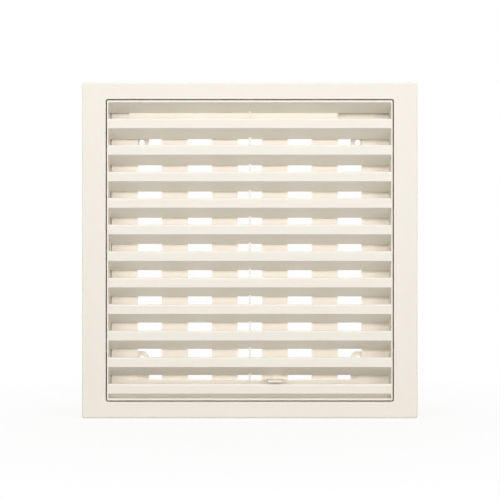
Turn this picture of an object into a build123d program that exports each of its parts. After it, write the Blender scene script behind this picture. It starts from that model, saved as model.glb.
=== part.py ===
from build123d import *
import os
from math import cos, radians, tan

# Adjustable ventilation grille: a wall frame, a louvred insert with a slotted back plate,
# and a shutter that slides sideways between the blades and the back plate.
#
# Millimetres. X runs to the right, Z up, and Y from the front towards the wall. The wall
# plane is y = 0, and the origin is the centre of the screw pattern on that plane. Depths
# are written as heights in front of the wall: a point at height h has y = -h.

# Frame: a shallow tray with a flat face flange
FRAME_W = 250.0
FRAME_H = 250.0
FRAME_DEPTH = 23.0
FRAME_CORNER_R = 1.6
FACE_EDGE_R = 1.2
FLANGE_T = 2.4
FLANGE_SIDE = 17.7
FLANGE_TOP = 12.3
OPENING_CORNER_R = 1.4
OPENING_EDGE_R = 0.25
SKIRT_T = 2.2
COLLAR_T = 1.8
STIFFENER_T = 1.4
STIFFENER_PITCH = 45.0
STIFFENER_COUNT = 5
STIFFENER_SETBACK = 1.0

# Screw ears in the frame's inner corners
SCREW_SPACING = 164.0
SCREW_HOLE_D = 4.4
EAR_MARGIN = 5.4
EAR_T = 3.0

# Louvred insert
INSERT_GAP = 1.0
RIM_SIDE_T = 1.0
RIM_TOP_T = 1.5
RIM_CORNER_R = 0.8
BLADE_COUNT = 11
FIRST_WEB_DROP = 0.9
LAST_LIP_LIFT = 5.15
BLADE_ANGLE = 28.87
WEB_T = 1.6
LIP_H = 7.15
LIP_T = 2.2
LIP_TOP_R = 1.3
CENTRE_RIB_T = 1.5
CENTRE_RIB_DEPTH = 2.0
KEEPER_X = 70.0
KEEPER_DEPTH = 4.0
KEEPER_OVERLAP = 3.0

# Crush ribs that centre the insert in the frame
CRUSH_RIB_W = 1.2
CRUSH_RIB_CLEARANCE = 0.05
CRUSH_RIB_LENGTH = 11.0
CRUSH_RIB_SETBACK = 4.0
CRUSH_RIB_PITCH = 75.0
CRUSH_RIB_COUNT = 3

# Snap hooks that hold the back plate on the insert
HOOK_COUNT = 3
HOOK_PITCH = 50.0
HOOK_LENGTH = 12.0
HOOK_T = 1.6
HOOK_ROOT = 3.0
HOOK_CATCH = 1.1
HOOK_CATCH_T = 0.7
HOOK_NOSE = 1.0
HOOK_CLEARANCE = 0.2
HOOK_SLACK = 0.1

# Back plate and its slots
PLATE_T = 2.2
SLOT_COUNT = 5
SLOT_END_R = 9.0

# Sliding shutter
SHUTTER_T = 2.0
SHUTTER_CLEARANCE = 0.3
SHUTTER_END_CLEARANCE = 1.05
SHUTTER_MARGIN = 7.2
SHUTTER_OVERLAP = 0.6
RAIL_W = 6.5
RAIL_RISE = 2.2
RAIL_INSET = 13.0
GUIDE_T = 1.8
GUIDE_INSET = 6.0
STOP_W = 10.0
STOP_RISE = 1.6
STOP_CLEARANCE = 0.15

# Finger lever on the shutter
LEVER_BAR = 4
LEVER_W = 10.6
LEVER_T = 1.5
LEVER_ROOT_R = 3.7
LEVER_ROOT_LAND = 0.3
LEVER_LIFT = 1.1
LEVER_PROUD = 1.0
LEVER_EDGE_R = 0.4
PIP_D = 3.6
PIP_RISE = 1.5
PIP_LIFT = 0.9

# The stack from the wall to the front
plate_front = EAR_T + PLATE_T
shutter_back = plate_front + SHUTTER_CLEARANCE
shutter_front = shutter_back + SHUTTER_T
rail_front = shutter_front + RAIL_RISE
web_rear = rail_front + SHUTTER_CLEARANCE
web_depth = FRAME_DEPTH - web_rear

# The opening, the insert in it and the room inside the insert's rim
opening_w = FRAME_W - 2 * FLANGE_SIDE
opening_h = FRAME_H - 2 * FLANGE_TOP
insert_w = opening_w - 2 * INSERT_GAP
insert_h = opening_h - 2 * INSERT_GAP
inside_w = insert_w - 2 * RIM_SIDE_T
inside_h = insert_h - 2 * RIM_TOP_T

# Blades: the lower front edge of blade i, where blade 0 is the bare web under the top rim
first_edge = insert_h / 2 - FIRST_WEB_DROP
last_edge = LAST_LIP_LIFT - insert_h / 2
blade_pitch = (first_edge - last_edge) / BLADE_COUNT
blade_edges = [first_edge - i * blade_pitch for i in range(BLADE_COUNT + 1)]
web_slope = tan(radians(BLADE_ANGLE))
web_rise = WEB_T / cos(radians(BLADE_ANGLE))

# Slots: the shutter's bars cover them with an overlap after moving half a pitch to the right
slot_pitch = (inside_w - 2 * SHUTTER_END_CLEARANCE - SHUTTER_OVERLAP) / (SLOT_COUNT + 0.5)
slot_w = slot_pitch / 2 - SHUTTER_OVERLAP
bar_w = slot_pitch - slot_w
shutter_travel = slot_pitch / 2
shutter_w = SLOT_COUNT * slot_pitch - slot_w
shutter_h = insert_h - 2 * SHUTTER_MARGIN
shutter_x = -shutter_travel
slot_h = shutter_h - 2 * RAIL_W
slot_field_w = SLOT_COUNT * slot_pitch - bar_w


def front_plane(height):
    """Sketch plane parallel to the wall: local x is X, local y is Z, extruding to the front."""
    return Plane.XZ.offset(height)


def blade_plane(x):
    """Sketch plane for the blade profile: local x is the depth behind the front face."""
    return Plane(origin=(x, -FRAME_DEPTH, 0), x_dir=(0, 1, 0), z_dir=(1, 0, 0))


# Wall frame
with BuildPart() as frame:
    with BuildSketch(front_plane(0)):
        RectangleRounded(FRAME_W, FRAME_H, FRAME_CORNER_R)
    extrude(amount=FRAME_DEPTH)
    fillet(faces().sort_by(Axis.Y)[0].edges(), FACE_EDGE_R)
    with BuildSketch(front_plane(0)):
        RectangleRounded(opening_w, opening_h, OPENING_CORNER_R)
    extrude(amount=FRAME_DEPTH, mode=Mode.SUBTRACT)
    fillet(faces().sort_by(Axis.Y)[0].inner_wires()[0].edges(), OPENING_EDGE_R)

    # Hollow between the skirt and the collar, open towards the wall
    hollow_w = FRAME_W - 2 * SKIRT_T
    hollow_h = FRAME_H - 2 * SKIRT_T
    collar_w = opening_w + 2 * COLLAR_T
    collar_h = opening_h + 2 * COLLAR_T
    with BuildSketch(front_plane(0)):
        Rectangle(hollow_w, hollow_h)
        RectangleRounded(collar_w, collar_h, OPENING_CORNER_R + COLLAR_T, mode=Mode.SUBTRACT)
    extrude(amount=FRAME_DEPTH - FLANGE_T, mode=Mode.SUBTRACT)

    # Stiffeners across the hollow, rooted in the middle of the skirt and the collar
    side_span = (hollow_w - collar_w + SKIRT_T + COLLAR_T) / 2
    side_x = (hollow_w + collar_w + SKIRT_T - COLLAR_T) / 2
    top_span = (hollow_h - collar_h + SKIRT_T + COLLAR_T) / 2
    top_z = (hollow_h + collar_h + SKIRT_T - COLLAR_T) / 2
    with BuildSketch(front_plane(STIFFENER_SETBACK)):
        with GridLocations(side_x, STIFFENER_PITCH, 2, STIFFENER_COUNT):
            Rectangle(side_span, STIFFENER_T)
        with GridLocations(STIFFENER_PITCH, top_z, STIFFENER_COUNT, 2):
            Rectangle(STIFFENER_T, top_span)
    extrude(amount=FRAME_DEPTH - STIFFENER_SETBACK - FLANGE_T / 2)

    # Screw ears, each with its inner corner concentric with the screw hole
    ear_inner = SCREW_SPACING / 2 - EAR_MARGIN
    ear_w = (opening_w + COLLAR_T) / 2 - ear_inner
    ear_h = (opening_h + COLLAR_T) / 2 - ear_inner
    with BuildSketch(front_plane(0)):
        with GridLocations(2 * ear_inner + ear_w, 2 * ear_inner + ear_h, 2, 2):
            Rectangle(ear_w, ear_h)
        fillet(vertices().group_by(SortBy.DISTANCE)[0], EAR_MARGIN)
        with GridLocations(SCREW_SPACING, SCREW_SPACING, 2, 2):
            Circle(SCREW_HOLE_D / 2, mode=Mode.SUBTRACT)
    extrude(amount=EAR_T)

# Back plate, clipped behind the insert and seated on the ears
with BuildPart() as back_plate:
    notch_depth = HOOK_T + HOOK_CLEARANCE
    notch_length = HOOK_LENGTH + 2 * HOOK_CLEARANCE
    with BuildSketch(front_plane(EAR_T)):
        RectangleRounded(insert_w, insert_h, RIM_CORNER_R)
        with GridLocations(insert_w - notch_depth, HOOK_PITCH, 2, HOOK_COUNT):
            Rectangle(notch_depth, notch_length, mode=Mode.SUBTRACT)
    extrude(amount=PLATE_T)
    with BuildSketch(front_plane(EAR_T)):
        RectangleRounded(slot_field_w, slot_h, SLOT_END_R)
        with GridLocations(slot_pitch, 0, SLOT_COUNT - 1, 1):
            Rectangle(bar_w, slot_h, mode=Mode.SUBTRACT)
    extrude(amount=PLATE_T, mode=Mode.SUBTRACT)

    # Guides above and below the shutter; the upper one has a gap that stops the shutter's travel
    guide_z = shutter_h / 2 + SHUTTER_CLEARANCE + GUIDE_T / 2
    guide_w = inside_w - 2 * GUIDE_INSET
    stop_gap = STOP_W + shutter_travel + 2 * STOP_CLEARANCE
    with BuildSketch(front_plane(plate_front)):
        with GridLocations(0, 2 * guide_z, 1, 2):
            Rectangle(guide_w, GUIDE_T)
        with Locations((shutter_x + shutter_travel / 2, guide_z)):
            Rectangle(stop_gap, GUIDE_T, mode=Mode.SUBTRACT)
    extrude(amount=SHUTTER_T)

# Sliding shutter with its finger lever, drawn open: each bar stands between two slots
with BuildPart() as slide_shutter:
    with BuildSketch(front_plane(shutter_back)):
        with Locations((shutter_x, 0)):
            Rectangle(shutter_w, shutter_h)
            with GridLocations(slot_pitch, 0, SLOT_COUNT - 1, 1):
                Rectangle(slot_w, slot_h, mode=Mode.SUBTRACT)
        with Locations((shutter_x, (shutter_h + STOP_RISE) / 2)):
            Rectangle(STOP_W, STOP_RISE)
    extrude(amount=SHUTTER_T)

    # Raised rails that bear on the back of the blades
    with BuildSketch(front_plane(shutter_front)):
        with Locations((shutter_x + RAIL_INSET / 2, 0)):
            with GridLocations(0, shutter_h - RAIL_W, 1, 2):
                Rectangle(shutter_w - RAIL_INSET, RAIL_W)
    extrude(amount=RAIL_RISE)

    # Finger lever: a tab that passes over the lowest blade, flared at its root
    lever_x = shutter_x + (LEVER_BAR - (SLOT_COUNT + 1) / 2) * slot_pitch
    lever_z = blade_edges[-1] + LIP_H + LEVER_LIFT
    lever_front = FRAME_DEPTH + LEVER_PROUD
    root_w = LEVER_W + 2 * (LEVER_ROOT_R + LEVER_ROOT_LAND)
    with BuildSketch(Plane.XY.offset(lever_z)):
        with Locations((lever_x, -shutter_back)):
            Rectangle(LEVER_W, lever_front - shutter_back, align=(Align.CENTER, Align.MAX))
            Rectangle(root_w, rail_front - shutter_back, align=(Align.CENTER, Align.MAX))
        root_corners = vertices().filter_by(lambda v: abs(v.Y + rail_front) < LEVER_EDGE_R)
        fillet(root_corners.group_by(lambda v: round(abs(v.X - lever_x), 3))[0], LEVER_ROOT_R)
    extrude(amount=LEVER_T)
    fillet(faces().sort_by(Axis.Y)[0].edges(), LEVER_EDGE_R)

    # Small round pip on the bar above the lever
    with BuildSketch(front_plane(shutter_front)):
        with Locations((lever_x, lever_z + LEVER_T + PIP_LIFT)):
            Circle(PIP_D / 2)
    extrude(amount=PIP_RISE)

# Section of one blade: an upright lip with a rounded top, and a web sloping down to the rear
with BuildSketch() as blade_section:
    with BuildLine():
        Polyline(
            (0, 0),
            (0, LIP_H),
            (LIP_T, LIP_H),
            (LIP_T, web_rise - LIP_T * web_slope),
            (web_depth, web_rise - web_depth * web_slope),
            (web_depth, -web_depth * web_slope),
            close=True,
        )
    make_face()
    fillet(vertices().group_by(Axis.Y)[-1].sort_by(Axis.X)[0], LIP_TOP_R)

# Louvred insert
with BuildPart() as louvre_insert:
    with BuildSketch(front_plane(plate_front)):
        RectangleRounded(insert_w, insert_h, RIM_CORNER_R)
        Rectangle(inside_w, inside_h, mode=Mode.SUBTRACT)
    extrude(amount=FRAME_DEPTH - plate_front)

    # Blades, trimmed inside the rim's top and bottom walls
    with BuildSketch(blade_plane(-(insert_w - RIM_SIDE_T) / 2)):
        with Locations(*[(0, z) for z in blade_edges]):
            add(blade_section.sketch)
        Rectangle(2 * web_depth, insert_h - RIM_TOP_T, mode=Mode.INTERSECT)
    extrude(amount=insert_w - RIM_SIDE_T)

    # Upright centre rib behind the blades, and keepers that hold the shutter's lower rail
    keeper_top = -shutter_h / 2 + KEEPER_OVERLAP
    keeper_foot = -(insert_h - RIM_TOP_T) / 2
    with BuildSketch(front_plane(web_rear)):
        Rectangle(CENTRE_RIB_T, insert_h - RIM_TOP_T)
    extrude(amount=CENTRE_RIB_DEPTH)
    with BuildSketch(front_plane(web_rear)):
        with Locations((0, (keeper_top + keeper_foot) / 2)):
            with GridLocations(2 * KEEPER_X, 0, 2, 1):
                Rectangle(CENTRE_RIB_T, keeper_top - keeper_foot)
    extrude(amount=KEEPER_DEPTH)

    # Crush ribs on the outside of the rim
    crush_rise = INSERT_GAP - CRUSH_RIB_CLEARANCE
    crush_root = RIM_SIDE_T / 2
    crush_span = crush_rise + crush_root
    crush_x = insert_w + crush_rise - crush_root
    crush_z = insert_h + crush_rise - crush_root
    with BuildSketch(front_plane(FRAME_DEPTH - CRUSH_RIB_SETBACK - CRUSH_RIB_LENGTH)):
        with GridLocations(crush_x, CRUSH_RIB_PITCH, 2, CRUSH_RIB_COUNT):
            Rectangle(crush_span, CRUSH_RIB_W)
        with GridLocations(CRUSH_RIB_PITCH, crush_z, CRUSH_RIB_COUNT, 2):
            Rectangle(CRUSH_RIB_W, crush_span)
    extrude(amount=CRUSH_RIB_LENGTH)

    # Snap hooks that reach through the back plate's notches and catch behind it
    hook_outer = insert_w / 2
    hook_inner = hook_outer - HOOK_T
    catch_front = EAR_T - HOOK_SLACK
    catch_rear = catch_front - HOOK_CATCH_T
    hook_levels = [(i - (HOOK_COUNT - 1) / 2) * HOOK_PITCH for i in range(HOOK_COUNT)]
    with BuildSketch(*[Plane.XY.offset(z - HOOK_LENGTH / 2) for z in hook_levels]):
        with BuildLine():
            Polyline(
                (hook_outer, -plate_front - HOOK_ROOT),
                (hook_outer, -catch_rear + HOOK_NOSE),
                (hook_inner, -catch_rear + HOOK_NOSE),
                (hook_inner - HOOK_CATCH, -catch_rear),
                (hook_inner - HOOK_CATCH, -catch_front),
                (hook_inner, -catch_front),
                (hook_inner, -plate_front - HOOK_ROOT),
                close=True,
            )
        make_face()
        mirror(about=Plane.YZ)
    extrude(amount=HOOK_LENGTH)

os.makedirs("parts", exist_ok=True)
for name, piece in [
    ("frame", frame),
    ("louvre_insert", louvre_insert),
    ("back_plate", back_plate),
    ("slide_shutter", slide_shutter),
]:
    piece.part.label = name
    export_step(piece.part, f"parts/{name}.step")
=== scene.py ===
import math

import bpy
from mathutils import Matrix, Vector


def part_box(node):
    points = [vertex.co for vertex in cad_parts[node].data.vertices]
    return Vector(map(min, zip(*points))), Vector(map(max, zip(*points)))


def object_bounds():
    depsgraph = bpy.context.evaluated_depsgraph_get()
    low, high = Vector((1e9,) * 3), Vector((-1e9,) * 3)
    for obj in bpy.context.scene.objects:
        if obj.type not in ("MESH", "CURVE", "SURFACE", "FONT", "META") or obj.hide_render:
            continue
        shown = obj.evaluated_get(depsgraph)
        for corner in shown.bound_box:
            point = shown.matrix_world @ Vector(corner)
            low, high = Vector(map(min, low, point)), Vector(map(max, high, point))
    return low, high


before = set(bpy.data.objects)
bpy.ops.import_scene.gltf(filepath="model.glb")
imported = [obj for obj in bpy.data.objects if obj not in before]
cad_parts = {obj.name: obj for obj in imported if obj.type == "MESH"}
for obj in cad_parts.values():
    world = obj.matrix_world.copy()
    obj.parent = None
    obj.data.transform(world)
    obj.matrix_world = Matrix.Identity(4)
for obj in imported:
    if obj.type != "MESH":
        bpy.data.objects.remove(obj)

MM = 0.001
cad_low, cad_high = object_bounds()
face_low, face_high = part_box("frame")
scene = bpy.context.scene

# Photograph: 500 x 500 pixels, taken straight on from about a metre in front of the face
IMAGE_PX = 500.0
FRAME_PX = 335.9
FRAME_CENTRE_PX = (249.8, 250.4)
CAMERA_DISTANCE = 1.0
CAMERA_CLIP = 0.01
SENSOR_MM = 36.0

# Moulded plastic: two close tones for each piece, fine grain and flow waviness; the shutter and back
# plate have a paler, warmer cream that is painted light
IVORY = ((0.912, 0.870, 0.785, 1.0), (0.894, 0.848, 0.758, 1.0))
# Painted light: the shutter and back plate get a paler, warmer cream than the ivory, standing in for
# the bounce light and the light through the plastic in the deep cavity
CAVITY_PAINTED_LIGHT_CREAM = ((0.960, 0.888, 0.800, 1.0), (0.945, 0.868, 0.776, 1.0))
PLASTIC_TONE_AND_PAINTED_LIGHT = {"frame": IVORY, "louvre_insert": IVORY, "back_plate": CAVITY_PAINTED_LIGHT_CREAM, "slide_shutter": CAVITY_PAINTED_LIGHT_CREAM}
TONE_SCALE = 14.0
TONE_DETAIL = 3.0
GRAIN_SCALE = 2600.0
GRAIN_DETAIL = 2.0
GRAIN_DEPTH = 0.012 * MM
FLOW_SCALE = 55.0
FLOW_DETAIL = 1.0
FLOW_DEPTH = 0.02 * MM
ROUGHNESS = (0.40, 0.52)
PATTERN_SHIFT = 0.37

# Edge radius of the mouldings
EDGE_RADIUS = 0.18 * MM
EDGE_ANGLE = math.radians(35)
EDGE_SEGMENTS = 2
WELD_DISTANCE = 0.002 * MM

# Backdrop and floor: the floor shows pale, throws back less light, and fades to white with distance
WHITE = (1.0, 1.0, 1.0, 1.0)
WHITE_STRENGTH = 1.0
FLOOR_SIZE = 3.0
FLOOR_SHOWN = (0.9, 0.9, 0.89, 1.0)
FLOOR_BOUNCE = (0.51, 0.51, 0.504, 1.0)
FLOOR_ROUGHNESS = 0.8
FLOOR_SPECULAR = 0.2
FADE_DISTANCE = (0.10, 0.40)
FADE_WHITE = (0.85, 1.0)

# Light from all round, and soft lights as name, place, side length and power
AMBIENT_COLOUR = (1.0, 0.985, 0.96, 1.0)
AMBIENT_STRENGTH = 0.30
LIGHT_TARGET = Vector((0.0, 0.0, 0.0))
LIGHTS = (
    ("front_light", (0.0, -1.6, 0.0), 0.5, 1.5),
    ("key_light", (0.0, -1.45, 0.68), 0.4, 5.0),
    ("left_light", (-0.78, -1.37, 0.4), 0.6, 4.2),
    ("right_light", (0.78, -1.37, 0.25), 0.6, 5.1),
    ("top_light", (0.0, -0.14, 0.9), 0.2, 2.0),
    ("left_fill", (-1.2, 0.3, 0.2), 0.4, 2.0),
    ("right_fill", (1.2, 0.3, 0.2), 0.4, 2.0),
    ("back_light", (0.0, 0.5, -0.15), 1.2, 4.8),
)


def noise(tree, vector, scale, detail):
    """Adds a noise texture on the vector and returns its value."""
    node = tree.nodes.new("ShaderNodeTexNoise")
    node.inputs["Scale"].default_value = scale
    node.inputs["Detail"].default_value = detail
    tree.links.new(vector, node.inputs["Vector"])
    return node.outputs["Fac"]


def bump(tree, height, depth):
    """Adds a bump of the given depth and returns its node."""
    node = tree.nodes.new("ShaderNodeBump")
    node.inputs["Distance"].default_value = depth
    tree.links.new(height, node.inputs["Height"])
    return node


def mix_colours(tree, factor, first, second):
    """Adds a mix from the first colour at 0 to the second at 1 and returns its colour."""
    node = tree.nodes.new("ShaderNodeMix")
    node.data_type = "RGBA"
    node.inputs["A"].default_value = first
    node.inputs["B"].default_value = second
    tree.links.new(factor, node.inputs["Factor"])
    return node.outputs["Result"]


def mix_shaders(tree, factor, first, second):
    """Adds a mix from the first shader at 0 to the second at 1 and returns its shader."""
    node = tree.nodes.new("ShaderNodeMixShader")
    tree.links.new(factor, node.inputs["Fac"])
    tree.links.new(first, node.inputs[1])
    tree.links.new(second, node.inputs[2])
    return node.outputs["Shader"]


def combine(tree, operation, first, second):
    """Adds the named operation on two values and returns its result."""
    node = tree.nodes.new("ShaderNodeMath")
    node.operation = operation
    tree.links.new(first, node.inputs[0])
    tree.links.new(second, node.inputs[1])
    return node.outputs["Value"]


def seen_directly(tree):
    """Returns 1 for camera, glossy and transmission rays, which see the plain white studio."""
    path = tree.nodes.new("ShaderNodeLightPath")
    seen = path.outputs["Is Camera Ray"]
    for name in ("Is Glossy Ray", "Is Transmission Ray"):
        seen = combine(tree, "MAXIMUM", seen, path.outputs[name])
    return seen


def moulded_plastic(name, tones, shift):
    """Satin plastic: faint tone drift, fine spark-eroded grain and shallow flow waviness."""
    material = bpy.data.materials.new(name)
    material.use_nodes = True
    tree = material.node_tree
    shader = tree.nodes["Principled BSDF"]
    coords = tree.nodes.new("ShaderNodeTexCoord")
    place = tree.nodes.new("ShaderNodeMapping")
    place.inputs["Location"].default_value = (shift, 2 * shift, 3 * shift)
    tree.links.new(coords.outputs["Object"], place.inputs["Vector"])
    vector = place.outputs["Vector"]

    tone = noise(tree, vector, TONE_SCALE, TONE_DETAIL)
    # For the shutter and back plate these tones are painted light, a paler, warmer cream for the bounce
    # light in the cavity
    tree.links.new(mix_colours(tree, tone, *tones), shader.inputs["Base Color"])

    grain = noise(tree, vector, GRAIN_SCALE, GRAIN_DETAIL)
    gloss = tree.nodes.new("ShaderNodeMapRange")
    gloss.inputs["To Min"].default_value = ROUGHNESS[0]
    gloss.inputs["To Max"].default_value = ROUGHNESS[1]
    tree.links.new(grain, gloss.inputs["Value"])
    tree.links.new(gloss.outputs["Result"], shader.inputs["Roughness"])

    flow = noise(tree, vector, FLOW_SCALE, FLOW_DETAIL)
    waves = bump(tree, flow, FLOW_DEPTH)
    texture = bump(tree, grain, GRAIN_DEPTH)
    tree.links.new(waves.outputs["Normal"], texture.inputs["Normal"])
    tree.links.new(texture.outputs["Normal"], shader.inputs["Normal"])
    return material


def soften_edges(node):
    """Gives a CAD node the small edge radius of a moulded piece."""
    weld = node.modifiers.new("weld", "WELD")
    weld.merge_threshold = WELD_DISTANCE
    bevel = node.modifiers.new("edge_radius", "BEVEL")
    bevel.width = EDGE_RADIUS
    bevel.segments = EDGE_SEGMENTS
    bevel.limit_method = "ANGLE"
    bevel.angle_limit = EDGE_ANGLE
    bevel.harden_normals = True


def studio_world():
    """White backdrop for the eye, and a softer light from all round for the surfaces."""
    world = bpy.data.worlds.new("studio")
    scene.world = world
    world.use_nodes = True
    tree = world.node_tree
    ambient = tree.nodes["Background"]
    ambient.inputs["Color"].default_value = AMBIENT_COLOUR
    ambient.inputs["Strength"].default_value = AMBIENT_STRENGTH
    backdrop = tree.nodes.new("ShaderNodeBackground")
    backdrop.inputs["Color"].default_value = WHITE
    backdrop.inputs["Strength"].default_value = WHITE_STRENGTH
    surface = mix_shaders(
        tree, seen_directly(tree), ambient.outputs["Background"], backdrop.outputs["Background"]
    )
    tree.links.new(surface, tree.nodes["World Output"].inputs["Surface"])


def floor_material():
    """Pale matt floor that fades into the white backdrop where it is seen directly."""
    material = bpy.data.materials.new("studio_floor")
    material.use_nodes = True
    tree = material.node_tree
    direct = seen_directly(tree)
    matt = tree.nodes["Principled BSDF"]
    colour = mix_colours(tree, direct, FLOOR_BOUNCE, FLOOR_SHOWN)
    tree.links.new(colour, matt.inputs["Base Color"])
    matt.inputs["Roughness"].default_value = FLOOR_ROUGHNESS
    matt.inputs["Specular IOR Level"].default_value = FLOOR_SPECULAR
    glow = tree.nodes.new("ShaderNodeEmission")
    glow.inputs["Color"].default_value = WHITE
    glow.inputs["Strength"].default_value = WHITE_STRENGTH

    coords = tree.nodes.new("ShaderNodeTexCoord")
    distance = tree.nodes.new("ShaderNodeVectorMath")
    distance.operation = "LENGTH"
    tree.links.new(coords.outputs["Object"], distance.inputs[0])
    fade = tree.nodes.new("ShaderNodeMapRange")
    fade.interpolation_type = "SMOOTHSTEP"
    fade.inputs["From Min"].default_value = FADE_DISTANCE[0]
    fade.inputs["From Max"].default_value = FADE_DISTANCE[1]
    fade.inputs["To Min"].default_value = FADE_WHITE[0]
    fade.inputs["To Max"].default_value = FADE_WHITE[1]
    tree.links.new(distance.outputs["Value"], fade.inputs["Value"])
    share = combine(tree, "MULTIPLY", direct, fade.outputs["Result"])
    surface = mix_shaders(tree, share, matt.outputs["BSDF"], glow.outputs["Emission"])
    tree.links.new(surface, tree.nodes["Material Output"].inputs["Surface"])
    return material


def studio_floor():
    """Floor under the lower edge of the frame, which casts no shadow itself."""
    bpy.ops.mesh.primitive_plane_add(size=FLOOR_SIZE, location=(0.0, 0.0, cad_low.z))
    floor = bpy.context.object
    floor.name = "studio_floor"
    floor.data.materials.append(floor_material())
    floor.visible_shadow = False


def studio_camera():
    """Straight-on camera whose picture has the frame where the photograph has it."""
    data = bpy.data.cameras.new("camera")
    camera = bpy.data.objects.new("camera", data)
    scene.collection.objects.link(camera)
    camera.location = (0.0, face_low.y - CAMERA_DISTANCE, 0.0)
    camera.rotation_euler = (math.pi / 2, 0.0, 0.0)
    picture_width = (face_high.x - face_low.x) * IMAGE_PX / FRAME_PX
    data.sensor_width = SENSOR_MM
    data.lens = SENSOR_MM * CAMERA_DISTANCE / picture_width
    data.shift_x = 0.5 - FRAME_CENTRE_PX[0] / IMAGE_PX
    data.shift_y = FRAME_CENTRE_PX[1] / IMAGE_PX - 0.5
    data.clip_start = CAMERA_CLIP
    scene.camera = camera


def area_light(name, place, size, power):
    """Adds a square soft light at a place, aimed at the middle of the part."""
    lamp = bpy.data.lights.new(name, "AREA")
    lamp.shape = "SQUARE"
    lamp.size = size
    lamp.energy = power
    light = bpy.data.objects.new(name, lamp)
    scene.collection.objects.link(light)
    light.location = place
    light.rotation_euler = (LIGHT_TARGET - light.location).to_track_quat("-Z", "Y").to_euler()


for number, (name, node) in enumerate(sorted(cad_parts.items()), start=1):
    node.data.materials.clear()
    node.data.materials.append(moulded_plastic(f"plastic_{name}", PLASTIC_TONE_AND_PAINTED_LIGHT[name], PATTERN_SHIFT * number))
    soften_edges(node)

studio_world()
studio_floor()
studio_camera()
for light_values in LIGHTS:
    area_light(*light_values)

scene.view_settings.view_transform = "Standard"
